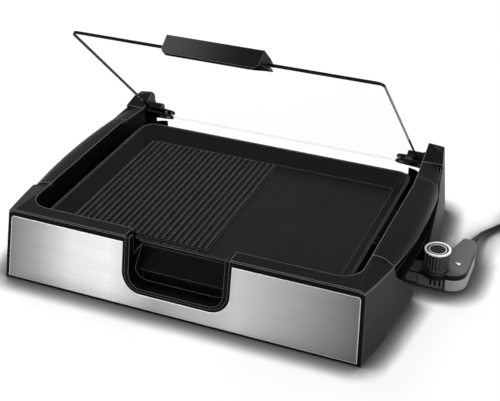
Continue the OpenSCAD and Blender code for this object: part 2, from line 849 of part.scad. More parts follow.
/* Grill plate */
plate_r = 22;
drain_n = 5;
drain_pitch = 11;
drain_r = 2.4;
rib_low = 2.4;
spout_w = 2 * sleeve_half - 3;
wall_run = rim_z - floor_z;
foot_h = floor_z - plate_t - liner_low - liner_t;
module plate_layer(z, inset, r, t = 0.01) {
    translate([0, 0, z]) linear_extrude(t) hull() for (sx = [-1, 1], y = [0, 1])
        translate([sx * (plate_w / 2 - inset - r), plate_y + inset + r + y * (plate_d - 2 * inset - 2 * r)])
            circle(r, $fn = 32);
}

module grill_plate() {
    inner = plate_wall;
    split_x = -plate_w / 2 + wall_run + 8;
    color(deep_black) union() {
        difference() {
            hull() {
                plate_layer(rim_z - 0.01, 0, plate_r);
                plate_layer(floor_z - plate_t, wall_run + plate_t - plate_wall, plate_r - 10);
            }
            hull() {
                plate_layer(rim_z + 1, inner - 1, plate_r - inner);
                plate_layer(floor_z, wall_run + inner, plate_r - inner - 10);
            }
            // Spout in the notch, and the drain holes in the floor
            translate([-spout_w / 2, plate_y - 5, lip_z]) cube([spout_w, 30, 40]);
            for (i = [0:drain_n - 1]) translate([-i * drain_pitch, plate_y + wall_run + 7, 0])
                cylinder(h = 100, r = drain_r, $fn = 24);
        }
        for (i = [0:rib_n - 1]) translate([split_x + i * rib_pitch, plate_y + wall_run + 14, floor_z - 0.5])
            rotate([90, 0, 180]) linear_extrude(plate_d - 2 * wall_run - 24)
                polygon([[-rib_low, 0], [rib_low, 0], [rib_low - 1, rib_h + 0.5],
                    [1 - rib_low, rib_h + 0.5]]);
        both() for (y = [plate_y + 64, plate_y + plate_d - 49])
            translate([plate_w / 2 - 48, y, liner_low + liner_t])
                cylinder(h = foot_h + 0.5, r = 6, $fn = 32);
    }
}

/* Heating element */
terminal_ys = [socket_y - terminal_pitch / 2, socket_y + terminal_pitch / 2];
loop_x = plate_w / 2 - 63;
loop_y0 = plate_y + 46;
loop_y1 = plate_y + plate_d - 31;
drop_x = recess_x - 40;
module tube(p, q) {
    v = q - p;
    len = norm(v);
    translate(p) rotate([0, acos(v[2] / len), atan2(v[1], v[0])])
        cylinder(h = len, r = tube_d / 2, $fn = 32);
}

// A quarter bend that starts at point p, heading along angle a in plan, and turns left or right.
module plan_bend(p, a, left) {
    s = left ? 1 : -1;
    translate(p) rotate([0, 0, a]) translate([0, s * loop_r, 0])
        rotate([0, 0, left ? -90 : 0]) rotate_extrude(angle = 90, $fn = 64)
            translate([loop_r, 0]) circle(tube_d / 2, $fn = 32);
}

// The leg from a terminal up to the loop's level, with two upright bends.
bend_r = (loop_z - socket_z) / 2 - 3;
module leg(y) {
    tube([recess_x - wall - 2, y, socket_z], [drop_x + bend_r, y, socket_z]);
    translate([drop_x + bend_r, y, socket_z + bend_r]) rotate([90, 0, 0]) rotate([0, 0, 180])
        rotate_extrude(angle = 90, $fn = 64) translate([bend_r, 0]) circle(tube_d / 2, $fn = 32);
    tube([drop_x, y, socket_z + bend_r], [drop_x, y, loop_z - bend_r]);
    translate([drop_x - bend_r, y, loop_z - bend_r]) rotate([90, 0, 0])
        rotate_extrude(angle = 90, $fn = 64) translate([bend_r, 0]) circle(tube_d / 2, $fn = 32);
}

module heating_element() {
    ya = terminal_ys[0];
    yb = terminal_ys[1];
    x0 = drop_x - bend_r;
    xe = loop_x + loop_r;
    color(steel_grey) {
        leg(ya);
        leg(yb);
        tube([x0, yb, loop_z], [xe, yb, loop_z]);
        tube([x0, ya, loop_z], [xe, ya, loop_z]);
        // Back half of the loop
        plan_bend([xe, yb, loop_z], 180, false);
        tube([loop_x, yb + loop_r, loop_z], [loop_x, loop_y1 - loop_r, loop_z]);
        plan_bend([loop_x, loop_y1 - loop_r, loop_z], 90, true);
        tube([loop_x - loop_r, loop_y1, loop_z], [loop_r - loop_x, loop_y1, loop_z]);
        plan_bend([loop_r - loop_x, loop_y1, loop_z], 180, true);
        tube([-loop_x, loop_y1 - loop_r, loop_z], [-loop_x, loop_y0 + loop_r, loop_z]);
        // Front half
        plan_bend([-loop_x, loop_y0 + loop_r, loop_z], 270, true);
        tube([loop_r - loop_x, loop_y0, loop_z], [loop_x - loop_r, loop_y0, loop_z]);
        plan_bend([loop_x - loop_r, loop_y0, loop_z], 0, true);
        tube([loop_x, loop_y0 + loop_r, loop_z], [loop_x, ya - loop_r, loop_z]);
        plan_bend([xe, ya, loop_z], 180, true);
    }
}

module element_clips() {
    top = floor_z - plate_t;
    // One on the middle of each straight side of the loop
    color(steel_grey) for (x = [-loop_x, loop_x],
            y = [(loop_y0 + terminal_ys[0]) / 2, (loop_y1 + terminal_ys[1]) / 2])
        translate([x, y - 5, 0]) difference() {
            translate([-9, 0, loop_z - tube_d / 2 - 1]) cube([18, 10, top - loop_z + tube_d / 2 + 1]);
            translate([-tube_d / 2 - 0.1, -1, loop_z]) cube([tube_d + 0.2, 12, 20]);
            translate([0, -1, loop_z]) rotate([-90, 0, 0])
                cylinder(h = 12, r = tube_d / 2 + 0.1, $fn = 32);
        }
}

block_w = 34;
block_low = cover_top + 0.3;
block_top = socket_z + 9;
block_x = recess_x - 12;
probe_r = 2;
module terminal_block() {
    x1 = recess_x + 2;
    color(deep_black) difference() {
        union() {
            translate([block_x, socket_y - block_w / 2, block_low])
                cube([x1 - block_x, block_w, block_top - block_low]);
            translate([block_x, socket_y - block_w / 2 - 4, block_top - 2.5])
                cube([recess_x - wall - block_x, block_w + 8, 5]);
        }
        for (y = terminal_ys) translate([block_x - 1, y, socket_z]) rotate([0, 90, 0]) {
            cylinder(h = recess_x - wall - block_x, r = tube_d / 2 + 0.1, $fn = 32);
            cylinder(h = 30, r = terminal_r, $fn = 32);
        }
        translate([block_x - 1, socket_y, socket_z]) rotate([0, 90, 0])
            cylinder(h = 40, r = probe_r + 0.3, $fn = 32);
    }
    color(steel_grey) for (y = terminal_ys) translate([recess_x - wall - 2, y, socket_z])
        rotate([0, 90, 0]) cylinder(h = terminal_l, r = terminal_r, $fn = 32);
}
terminal_r = 2.4;
terminal_l = 19;

/* Plug-in control */
nose_x = recess_x + 3;
shell_x = recess_x + 20;
arm_x = control_reach;
module control_plan(t) {
    offset(r = -t) union() {
        hull() {
            translate([shell_x, socket_y - 15]) square([6, 40]);
            translate([arm_x - 22, socket_y + 7]) circle(22, $fn = 48);
            translate([shell_x + 30, socket_y + 20]) circle(10, $fn = 32);
        }
        hull() {
            translate([arm_x - 22, socket_y + 7]) circle(22, $fn = 48);
            translate([arm_x - 9, socket_y + 55]) circle(8, $fn = 32);
            translate([arm_x - 19, socket_y + 40]) circle(8, $fn = 32);
            translate([arm_x - 20, arm_end - 6]) circle(6, $fn = 32);
            translate([arm_x - 11, arm_end - 6]) circle(6, $fn = 32);
        }
    }
}

shell_t = 2;
module control_lower_shell() {
    color(light_grey) difference() {
        union() {
            translate([0, 0, control_z]) linear_extrude(lower_h) control_plan(0);
            // Nose that enters the recess
            translate([nose_x, socket_y - nose_w / 2, control_z + 1])
                cube([shell_x + 4 - nose_x, nose_w, lower_h - 1]);
        }
        translate([0, 0, control_z + shell_t]) linear_extrude(lower_h) control_plan(shell_t);
        for (y = terminal_ys) translate([nose_x - 1, y, socket_z]) rotate([0, 90, 0])
            cylinder(h = 24, r = sleeve_or + 0.05, $fn = 32);
        translate([nose_x - 1, socket_y, socket_z]) rotate([0, 90, 0])
            cylinder(h = 24, r = probe_r + 0.05, $fn = 32);
        for (p = control_screw_points) translate([p[0], p[1], 0]) {
            cylinder(h = control_z + 1, r = 2.7, $fn = 24);
            cylinder(h = 20, r = 1.3, $fn = 24);
        }
        // Cooling slots
        for (i = [-1:1]) translate([knob_x + 1.6 + i * 6, socket_y - 20, control_z + 4])
            cube([2, 10, 9]);
        translate([arm_x - 15.5, arm_end - 10, relief_z]) rotate([-90, 0, 0])
            cylinder(h = 20, r = relief_neck + 0.05, $fn = 32);
    }
}
nose_w = 26;
sleeve_or = 3.4;

module control_upper_shell() {
    color(satin_black) difference() {
        union() {
            translate([0, 0, seam_z]) linear_extrude(upper_h) control_plan(1.2);
            translate([nose_x, socket_y - nose_w / 2, seam_z]) cube([shell_x + 4 - nose_x, nose_w, 3]);
            translate([knob_x, knob_y, seam_z]) cylinder(h = upper_h + 0.6, r = knob_r, $fn = 64);
        }
        translate([0, 0, seam_z - 1]) linear_extrude(upper_h - shell_t + 1) control_plan(3.2);
        translate([knob_x, knob_y, 0]) cylinder(h = 60, r = shaft_r + 0.4, $fn = 32);
        translate([lens_x, lens_y, 0]) cylinder(h = 60, r = lens_r + 0.05, $fn = 32);
        for (y = terminal_ys) translate([nose_x - 1, y, socket_z]) rotate([0, 90, 0])
            cylinder(h = 24, r = sleeve_or + 0.05, $fn = 32);
        translate([arm_x - 15.5, arm_end - 10, relief_z]) rotate([-90, 0, 0])
            cylinder(h = 20, r = relief_neck + 0.05, $fn = 32);
    }
}
shaft_r = 3;
lens_x = arm_x - 15;
lens_y = knob_y + 21;
lens_r = 2.5;

module contact_sleeves() {
    color(steel_grey) for (y = terminal_ys) translate([nose_x + 0.5, y, socket_z])
        rotate([0, 90, 0]) difference() {
            cylinder(h = 20, r = sleeve_or, $fn = 32);
            translate([0, 0, -1]) cylinder(h = 17, r = terminal_r + 0.06, $fn = 32);
        }
}

module probe_rod() {
    color(steel_grey) translate([recess_x - 36, socket_y, socket_z]) rotate([0, 90, 0])
        cylinder(h = switch_x - recess_x + 36, r = probe_r, $fn = 32);
}

switch_x = shell_x + 6;
module thermostat_switch() {
    color([0.7, 0.55, 0.3]) difference() {
        translate([switch_x, socket_y - 8, control_z + shell_t])
            cube([knob_x + 9.6 - switch_x, 16, lower_h - shell_t + 2]);
        translate([switch_x - 4, socket_y, socket_z]) rotate([0, 90, 0]) cylinder(h = 5, r = probe_r + 0.1, $fn = 32);
        translate([knob_x, knob_y, seam_z - 2]) cylinder(h = 10, r = shaft_r + 0.4, $fn = 32);
    }
}

control_screw_points = [[shell_x + 10, socket_y + 18], [arm_x - 14, arm_end - 26]];
module control_screws() {
    color(steel_grey) for (p = control_screw_points) translate([p[0], p[1], control_z - 0.2]) {
        cylinder(h = 1.2, r = 2.6, $fn = 24);
        cylinder(h = lower_h, r = 1.2, $fn = 24);
    }
}

module pilot_lens() {
    color([0.9, 0.9, 0.88]) translate([lens_x, lens_y, shell_top - shell_t])
        cylinder(h = shell_t + 0.8, r = lens_r, $fn = 32);
}

grips = 24;
module temperature_knob() {
    color(satin_black) difference() {
        union() {
            translate([knob_x, knob_y, knob_low]) cylinder(h = 5, r = knob_r, $fn = 96);
            translate([knob_x, knob_y, knob_low])
                cylinder(h = knob_h - 1.6, r = knob_r - 1.4, $fn = 96);
            for (i = [0:grips - 1]) translate([knob_x, knob_y, knob_low])
                rotate([0, 0, i * 360 / grips]) translate([knob_r - 2, -0.9, 0])
                    cube([1.4, 1.8, knob_h - 4]);
        }
        translate([knob_x, knob_y, knob_low - 1]) cylinder(h = knob_h - 5, r = shaft_r, $fn = 32);
    }
}

module knob_ring() {
    color([0.9, 0.9, 0.9]) translate([knob_x, knob_y, knob_top - 1.6]) difference() {
        cylinder(h = 1.6, r = knob_r - 0.1, $fn = 96);
        translate([0, 0, -1]) cylinder(h = 4, r = knob_r - 3, $fn = 96);
    }
}

module knob_cap() {
    color(deep_black) translate([knob_x, knob_y, knob_top - 1.6])
        cylinder(h = 1, r = knob_r - 3.1, $fn = 96);
}

module knob_shaft() {
    color(steel_grey) translate([knob_x, knob_y, seam_z - 1.6])
        cylinder(h = knob_low + knob_h - 7 - seam_z + 1.6, r = shaft_r - 0.02, $fn = 32);
}

/* Strain relief, cord and plug */
relief_z = 17;
relief_neck = 4.4;
relief_x = arm_x - 15.5;
relief_tilt = 10;
relief_turn = 8;
relief_end = [relief_x + relief_l * sin(relief_turn) * cos(relief_tilt),
    arm_end + 1.6 + relief_l * cos(relief_turn) * cos(relief_tilt),
    relief_z - relief_l * sin(relief_tilt)];
module strain_relief() {
    color(cord_black) {
        translate([relief_x, arm_end - 7, relief_z]) rotate([-90, 0, 0])
            cylinder(h = 9, r = relief_neck, $fn = 32);
        translate([relief_x, arm_end + 1.6, relief_z]) rotate([-90 - relief_tilt, 0, -relief_turn])
            cylinder(h = relief_l, r1 = relief_neck + 1.4, r2 = cord_d / 2 + 0.6, $fn = 32);
    }
}

// The coil: two loops spiral in on the floor, half a loop climbs, and two loops spiral out on top.
coil_c = [398, 398];
coil_out = 45;
coil_in = 30;
coil_loops = 2;
coil_start = 165;
coil_rings = 24;
coil_layer = 7.7;
coil_dip = 2;
coil_z = cord_d / 2;
coil_half = coil_rings / 2;
coil_n = 2 * coil_loops * coil_rings + coil_half;
function coil_at(i) = let (
        down = coil_loops * coil_rings,
        up = down + coil_half,
        f = i < down ? i / down : i < up ? (i - down) / coil_half : (i - up) / down,
        r = i < down ? coil_out + (coil_in - coil_out) * f
            : i < up ? coil_in - coil_dip * sin(180 * f) : coil_in + (coil_out - coil_in) * f,
        z = i < down ? coil_z : i < up ? coil_z + coil_layer * f : coil_z + coil_layer,
        a = coil_start - i * 360 / coil_rings)
    [coil_c[0] + r * cos(a), coil_c[1] + r * sin(a), z];
// The ends run straight for one diameter, and the lead and the tail meet them squarely.
coil_in_way = unit(coil_at(1) - coil_at(0));
coil_out_way = unit(coil_at(coil_n) - coil_at(coil_n - 1));
coil_first = coil_at(0) - cord_d * coil_in_way;
coil_last = coil_at(coil_n) + cord_d * coil_out_way;

// Route of the lead, from the strain relief to the coil, as points chosen by hand.
lead_points = [relief_end, [319.5, 332, 9.4], [321, 341, 7.5], [324, 350, 5.5], [328, 359, 4.2],
    [333, 368, 3.6], [339, 378, 3.5], [344.5, 387, 3.5], [348.8, 396, 3.5],
    coil_first - 2 * coil_in_way, coil_first];
// Route of the tail, from the coil down to the plug.
tail_points = [coil_last, coil_last + 2 * coil_out_way, [438, 373, 10.6], [436.4, 366, 8.6],
    [435, 359, 6.2], [434.2, 352, 4.6], [434, 345, 4], [434, 338, 4]];

// A tube of n sides and radius r along points, with flat ends.
function unit(v) = v / norm(v);
function heading(p, i) = unit(p[min(i + 1, len(p) - 1)] - p[max(i - 1, 0)]);
function across(t) = unit(cross(t, [0, 0, 1]));
module sweep(p, r, n) {
    m = len(p);
    verts = [for (i = [0:m - 1]) let (t = heading(p, i), a = across(t), b = cross(a, t))
        for (k = [0:n - 1]) p[i] + r * (cos(k * 360 / n) * a + sin(k * 360 / n) * b)];
    sides = [for (i = [0:m - 2], k = [0:n - 1]) let (k2 = (k + 1) % n)
        each [[i * n + k, (i + 1) * n + k, (i + 1) * n + k2], [i * n + k, (i + 1) * n + k2, i * n + k2]]];
    polyhedron(verts, concat(sides, [[for (k = [0:n - 1]) k]],
        [[for (k = [n - 1:-1:0]) (m - 1) * n + k]]));
}

module cord_lead() {
    color(cord_black) sweep(lead_points, cord_d / 2, 8);
}

module cord_tail() {
    color(cord_black) sweep(tail_points, cord_d / 2, 8);
}

coil_points = concat([coil_first], [for (i = [0:coil_n]) coil_at(i)], [coil_last]);
function least_gap(p, skip) = min([for (i = [0:len(p) - 1], j = [i + skip:1:len(p) - 1])
    norm(p[i] - p[j]) - cord_d]);
echo(coil_least_gap_mm = least_gap(coil_points, 10));

module cord_coil() {
    color(cord_black) sweep(coil_points, cord_d / 2, 6);
}

plug_x = 434;
plug_y = 338;
plug_z = 8.6;
plug_len = 34;
plug_w = 26;
plug_t = 17;
pin_len = 19;
plug_pin_r = 2;
module plug_body() {
    color(cord_black) difference() {
        union() {
            translate([plug_x, plug_y, 4]) rotate([90, 0, 0]) cylinder(h = 12, r1 = 4, r2 = 4, $fn = 32);
            translate([plug_x, plug_y - 11, plug_z]) rotate([90, 0, 0]) linear_extrude(plug_len - 11)
                hull() for (s = [-1, 1]) translate([s * (plug_w / 2 - plug_t / 2), 0])
                    circle(plug_t / 2, $fn = 12);
        }
        for (x = plug_pin_xs) translate([plug_x + x, plug_y - plug_len - 1, plug_z])
            rotate([-90, 0, 0]) cylinder(h = 9, r = plug_pin_r + 0.05, $fn = 24);
    }
}
plug_pin_xs = [-9.5, 9.5];

module plug_pins() {
    color(steel_grey) for (x = plug_pin_xs)
        translate([plug_x + x, plug_y - plug_len + 8, plug_z]) rotate([90, 0, 0])
            cylinder(h = 8 + pin_len, r = plug_pin_r, $fn = 24);
}

place() housing();
place() top_frame();
place() front_fascia();
place() steel_panel();
place() left_handle();
place() right_handle();
place() left_rear_block();
place() right_rear_block();
place() left_post();
place() right_post();
place() inner_liner();
place() grill_plate();
place() heating_element();
place() element_clips();
place() terminal_block();
place() bottom_cover();
place() rubber_feet();
place() bottom_screws();
place() left_hinge_bracket();
place() right_hinge_bracket();
place() drip_drawer();
place() lid_glass();
place() lid_handle();
place() lid_handle_screws();
place() left_hinge_clamp();
place() right_hinge_clamp();
place() clamp_screws();
place() hinge_pins();
place() control_lower_shell();
place() control_upper_shell();
place() contact_sleeves();
place() probe_rod();
place() thermostat_switch();
place() control_screws();
place() pilot_lens();
place() temperature_knob();
place() knob_ring();
place() knob_cap();
place() knob_shaft();
place() strain_relief();
place() cord_lead();
place() cord_coil();
place() cord_tail();
place() plug_body();
place() plug_pins();
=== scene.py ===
# Looks of an electric indoor grill: a black body with a brushed steel front, a ribbed plate, a
# hinged glass lid, a drip drawer in a notch of the front, and a plug-in temperature control.
# Lengths are in metres. Places given as "body" places are measured from the middle of the front
# edge of the foot, and at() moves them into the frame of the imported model.
import math

import bpy
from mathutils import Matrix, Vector


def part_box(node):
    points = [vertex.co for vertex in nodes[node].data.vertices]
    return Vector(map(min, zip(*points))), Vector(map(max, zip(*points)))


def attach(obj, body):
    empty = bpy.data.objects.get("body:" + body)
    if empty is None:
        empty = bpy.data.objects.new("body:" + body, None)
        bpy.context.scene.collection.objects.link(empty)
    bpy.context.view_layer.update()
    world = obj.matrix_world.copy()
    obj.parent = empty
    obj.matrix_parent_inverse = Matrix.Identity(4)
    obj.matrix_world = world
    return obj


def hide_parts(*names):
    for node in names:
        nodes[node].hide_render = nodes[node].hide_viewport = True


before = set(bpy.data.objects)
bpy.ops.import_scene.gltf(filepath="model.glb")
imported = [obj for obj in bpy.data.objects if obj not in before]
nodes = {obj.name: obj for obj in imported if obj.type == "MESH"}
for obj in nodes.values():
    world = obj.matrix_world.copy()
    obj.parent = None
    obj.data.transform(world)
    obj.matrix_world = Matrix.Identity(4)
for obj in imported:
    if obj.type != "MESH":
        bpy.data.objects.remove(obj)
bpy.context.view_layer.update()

# ---------------------------------------------------------------------------------------------
# Camera: a long lens that looks down on the front from the right of the middle, as a product
# photographer stands.
# ---------------------------------------------------------------------------------------------
CONTROL_REACH = 0.329
BODY_DEPTH = 0.4
ORIGIN = Vector((CONTROL_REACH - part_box("control_lower_shell")[1].x, BODY_DEPTH / 2, 0))


def at(x, y, z):
    """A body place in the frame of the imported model."""
    return Vector((x, y, z)) - ORIGIN


LENS_PIXELS = 1108
VIEW_WIDTH_PIXELS = 500
SENSOR_MM = 36
CAMERA_PLACE = (0.5293, -1.0094, 0.8515)
LOOK_DOWN_DEG = 30.74
LOOK_ROUND_DEG = 22.72
camera = bpy.data.objects.new("camera", bpy.data.cameras.new("camera"))
camera.data.sensor_width = SENSOR_MM
camera.data.lens = SENSOR_MM * LENS_PIXELS / VIEW_WIDTH_PIXELS
camera.location = at(*CAMERA_PLACE)
camera.rotation_euler = (math.radians(90 - LOOK_DOWN_DEG), 0, math.radians(LOOK_ROUND_DEG))
bpy.context.scene.collection.objects.link(camera)
bpy.context.scene.camera = camera

# ---------------------------------------------------------------------------------------------
# Mains cord: a round black flex that leaves the control, drops to the worktop and is wound into
# a coil of two layers beside the grill. It is one smooth tube, soft rubber with a dull skin.
# ---------------------------------------------------------------------------------------------
CORD_DIAMETER = 0.007
RELIEF_END = (0.31844, 0.32471, 0.01075)
LEAD = [RELIEF_END, (0.3195, 0.332, 0.0094), (0.321, 0.341, 0.0075), (0.324, 0.35, 0.0055),
        (0.328, 0.359, 0.0042), (0.333, 0.368, 0.0036), (0.339, 0.378, 0.0035),
        (0.3445, 0.387, 0.0035), (0.3488, 0.396, 0.0035)]
TAIL = [(0.438, 0.373, 0.0106), (0.4364, 0.366, 0.0086), (0.435, 0.359, 0.0062),
        (0.4342, 0.352, 0.0046), (0.434, 0.345, 0.004), (0.434, 0.338, 0.004)]
COIL_CENTRE = (0.398, 0.398)
COIL_OUT = 0.045
COIL_IN = 0.03
COIL_LOOPS = 2
COIL_CLIMB = 0.5
COIL_START_DEG = 165
COIL_LAYER = 0.0077
COIL_DIP = 0.002
COIL_STEPS = 24
ROUTE_STEPS = 3
CORD_ROUNDNESS = 5


def coil_point(turn):
    """The cord's centre line after so many turns: two in, half a turn up, and two out again."""
    if turn < COIL_LOOPS:
        part = turn / COIL_LOOPS
        radius = COIL_OUT + (COIL_IN - COIL_OUT) * part
        height = 0
    elif turn < COIL_LOOPS + COIL_CLIMB:
        part = (turn - COIL_LOOPS) / COIL_CLIMB
        radius = COIL_IN - COIL_DIP * math.sin(math.pi * part)
        height = COIL_LAYER * part
    else:
        part = (turn - COIL_LOOPS - COIL_CLIMB) / COIL_LOOPS
        radius = COIL_IN + (COIL_OUT - COIL_IN) * part
        height = COIL_LAYER
    angle = math.radians(COIL_START_DEG) - 2 * math.pi * turn
    return (COIL_CENTRE[0] + radius * math.cos(angle), COIL_CENTRE[1] + radius * math.sin(angle),
            CORD_DIAMETER / 2 + height)


def rounded(points, steps):
    """A smooth line through the points, with so many steps between each pair."""
    line = []
    for i in range(len(points) - 1):
        a, b, c, d = (Vector(points[min(max(j, 0), len(points) - 1)]) for j in range(i - 1, i + 3))
        for k in range(steps):
            t = k / steps
            line.append(0.5 * (2 * b + (c - a) * t + (2 * a - 5 * b + 4 * c - d) * t * t
                               + (3 * b - a - 3 * c + d) * t ** 3))
    return line + [Vector(points[-1])]


turns = 2 * COIL_LOOPS + COIL_CLIMB
coil = [coil_point(i / COIL_STEPS) for i in range(int(turns * COIL_STEPS) + 1)]
cord_line = [at(*p) for p in rounded(LEAD + coil + TAIL, ROUTE_STEPS)]
cord_curve = bpy.data.curves.new("mains_cord", "CURVE")
cord_curve.dimensions = "3D"
cord_curve.bevel_depth = CORD_DIAMETER / 2
cord_curve.bevel_resolution = CORD_ROUNDNESS
cord_curve.use_fill_caps = True
spline = cord_curve.splines.new("POLY")
spline.points.add(len(cord_line) - 1)
for spline_point, place in zip(spline.points, cord_line):
    spline_point.co = (*place, 1)
mains_cord = bpy.data.objects.new("mains_cord", cord_curve)
bpy.context.scene.collection.objects.link(mains_cord)


class Wire:
    """One value on its way through a finish's nodes, written with the signs of arithmetic."""

    def __init__(self, finish, socket):
        self.finish = finish
        self.socket = socket

    def _worked(self, operation, first, second):
        return self.finish.node("ShaderNodeMath", {"operation": operation}, {0: first, 1: second})

    def __add__(self, other):
        return self._worked("ADD", self, other)

    __radd__ = __add__

    def __sub__(self, other):
        return self._worked("SUBTRACT", self, other)

    def __rsub__(self, other):
        return self._worked("SUBTRACT", other, self)

    def __mul__(self, other):
        return self._worked("MULTIPLY", self, other)

    __rmul__ = __mul__

    def __pow__(self, other):
        return self._worked("POWER", self, other)

    def __mod__(self, other):
        return self._worked("FLOORED_MODULO", self, other)

    def size(self):
        """The value without its sign."""
        return self._worked("ABSOLUTE", self, 0.0)

    def above(self, low, high):
        """0 below the low value, 1 above the high value, and smooth between."""
        return self.finish.node("ShaderNodeMapRange", {"interpolation_type": "SMOOTHSTEP"},
                                {"Value": self, "From Min": low, "From Max": high})


class Finish:
    """A finish for one or more pieces: a material whose surface is worked out by nodes."""

    def __init__(self, name, **fixed):
        self.material = bpy.data.materials.new(name)
        self.material.use_nodes = True
        self.tree = self.material.node_tree
        self.shader = self.tree.nodes["Principled BSDF"]
        for socket, value in fixed.items():
            self.shader.inputs[socket.replace("_", " ")].default_value = value

    def node(self, kind, settings, sockets, output=0):
        """Adds a node with its settings, then its socket values or links; gives one output."""
        made = self.tree.nodes.new(kind)
        for name, value in settings.items():
            if name == "stops":
                while len(made.color_ramp.elements) < len(value):
                    made.color_ramp.elements.new(1)
                for stop, (place, colour) in zip(made.color_ramp.elements, value):
                    stop.position = place
                    stop.color = (*colour, 1)
            else:
                setattr(made, name, value)
        for name, value in sockets.items():
            if isinstance(value, Wire):
                self.tree.links.new(value.socket, made.inputs[name])
            else:
                made.inputs[name].default_value = value
        return Wire(self, made.outputs[output])

    def feed(self, socket, wire):
        """Lets a worked-out value drive one socket of the shader."""
        self.tree.links.new(wire.socket, self.shader.inputs[socket])

    def place(self, stretch=(1, 1, 1)):
        """Where a point lies on its piece, drawn out by a factor along each direction."""
        spot = self.node("ShaderNodeTexCoord", {}, {}, "Object")
        return self.node("ShaderNodeMapping", {}, {"Vector": spot, "Scale": stretch})

    def axes(self):
        """Body places of a point, one value along each direction."""
        spot = self.place()
        parts = [self.node("ShaderNodeSeparateXYZ", {}, {"Vector": spot}, i) for i in range(3)]
        return [part + offset for part, offset in zip(parts, ORIGIN)]

    def noise(self, scale, detail=2.0, stretch=(1, 1, 1)):
        """Cloudy unevenness, finer as the scale grows."""
        return self.node("ShaderNodeTexNoise", {}, {"Vector": self.place(stretch), "Scale": scale,
                                                    "Detail": detail})

    def blend(self, amount, first, second):
        """A colour between two colours."""
        pair = [(*c, 1) if isinstance(c, tuple) else c for c in (first, second)]
        return self.node("ShaderNodeMix", {"data_type": "RGBA", "clamp_factor": True},
                         {"Factor": amount, "A": pair[0], "B": pair[1]}, "Result")

    def rounded_normal(self, radius):
        """The surface's direction as if its edges were rounded by the radius."""
        return self.node("ShaderNodeBevel", {"samples": 6}, {"Radius": radius})

    def edges(self, normal):
        """How far a point lies on an edge: 0 on a flat stretch, towards 1 on a sharp corner."""
        true = self.node("ShaderNodeNewGeometry", {}, {}, "True Normal")
        same = self.node("ShaderNodeVectorMath", {"operation": "DOT_PRODUCT"},
                         {0: normal, 1: true}, "Value")
        return 1 - same

    def bump(self, height, distance, normal=None):
        """Relief of the given depth, laid over the rounded edges where there are any."""
        sockets = {"Height": height, "Distance": distance, "Strength": 1.0}
        if normal is not None:
            sockets["Normal"] = normal
        self.feed("Normal", self.node("ShaderNodeBump", {}, sockets))


def wear(finish, *names):
    """Gives CAD nodes their finish."""
    for name in names:
        mesh = nodes[name].data
        mesh.materials.clear()
        mesh.materials.append(finish.material)


RUBBER_MOTTLE = 60
RUBBER_SKIN = 900
RUBBER_SKIN_DEPTH = 0.00006


def soft_rubber(name, colour, roughness):
    """Soft rubber or vinyl: slightly mottled, with a fine dull skin."""
    finish = Finish(name, Specular_IOR_Level=0.35)
    mottle = finish.noise(RUBBER_MOTTLE, 4)
    finish.feed("Base Color", finish.blend(mottle, colour, tuple(1.5 * c for c in colour)))
    finish.feed("Roughness", roughness + 0.12 * mottle)
    finish.bump(finish.noise(RUBBER_SKIN, 3), RUBBER_SKIN_DEPTH)
    return finish


cord_rubber = soft_rubber("cord_rubber", (0.005, 0.005, 0.0055), 0.36)
mains_cord.data.materials.append(cord_rubber.material)
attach(mains_cord, "control")
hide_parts("cord_lead", "cord_coil", "cord_tail")

# ---------------------------------------------------------------------------------------------
# Strain relief and plug: moulded onto the cord in the same rubber. The plug has two brass pins, and
# the sleeves in the control that grip the heating tube's ends are of the same brass.
# ---------------------------------------------------------------------------------------------
wear(cord_rubber, "strain_relief", "plug_body")

METAL_STREAKS = 300
METAL_STRETCH = (1, 1, 8)
METAL_RELIEF = 0.00003


def plain_metal(name, colour, roughness):
    """Turned, drawn or plated metal with faint streaks."""
    finish = Finish(name, Metallic=1.0)
    streaks = finish.noise(METAL_STREAKS, 2, METAL_STRETCH)
    finish.feed("Base Color", finish.blend(streaks, colour, tuple(0.75 * c for c in colour)))
    finish.feed("Roughness", roughness + 0.15 * streaks)
    finish.bump(streaks, METAL_RELIEF)
    return finish


pin_brass = plain_metal("pin_brass", (0.75, 0.58, 0.28), 0.25)
wear(pin_brass, "plug_pins", "contact_sleeves")

# ---------------------------------------------------------------------------------------------
# Studio: a white floor with a painted contact shadow under the body, darker where nearby things
# hide the sky, laid over some of the lamps' own shadow; a white surround, and soft lamps above
# and in front.
# ---------------------------------------------------------------------------------------------
FLOOR_SIDE = 30
FLOOR_DROP = 0.0004
PAINTED_SHADOW_REACH = 0.034
PAINTED_SHADOW_DEPTH = 8.0
GLOW_SHARE = 0.85
SURROUND_ON_OBJECT = 0.5
floor_mesh = bpy.data.meshes.new("floor")
half = FLOOR_SIDE / 2
floor_mesh.from_pydata([(-half, -half, 0), (half, -half, 0), (half, half, 0), (-half, half, 0)],
                       [], [(0, 1, 2, 3)])
floor = bpy.data.objects.new("floor", floor_mesh)
floor.location.z = -FLOOR_DROP
bpy.context.scene.collection.objects.link(floor)
floor_white = Finish("floor_white", Roughness=0.9, Specular_IOR_Level=0.0)
floor_white.shader.inputs["Base Color"].default_value = (0.9, 0.9, 0.9, 1)
# Painted contact shadow: the floor's glow for the camera goes grey where nearby things hide the
# sky.
open_sky = floor_white.node("ShaderNodeAmbientOcclusion", {"samples": 16},
                            {"Distance": PAINTED_SHADOW_REACH}, "AO")
grey = floor_white.node("ShaderNodeCombineColor", {},
                        {i: open_sky ** PAINTED_SHADOW_DEPTH for i in range(3)})
painted_shadow_glow = floor_white.node("ShaderNodeEmission", {}, {"Color": grey, "Strength": 1.0})
ray = floor_white.node("ShaderNodeLightPath", {}, {}, "Is Camera Ray")
lit = Wire(floor_white, floor_white.shader.outputs[0])
mixed = floor_white.node("ShaderNodeMixShader", {}, {0: ray * GLOW_SHARE, 1: lit, 2: painted_shadow_glow})
floor_white.tree.links.new(mixed.socket, floor_white.tree.nodes["Material Output"].inputs[0])
floor.data.materials.append(floor_white.material)

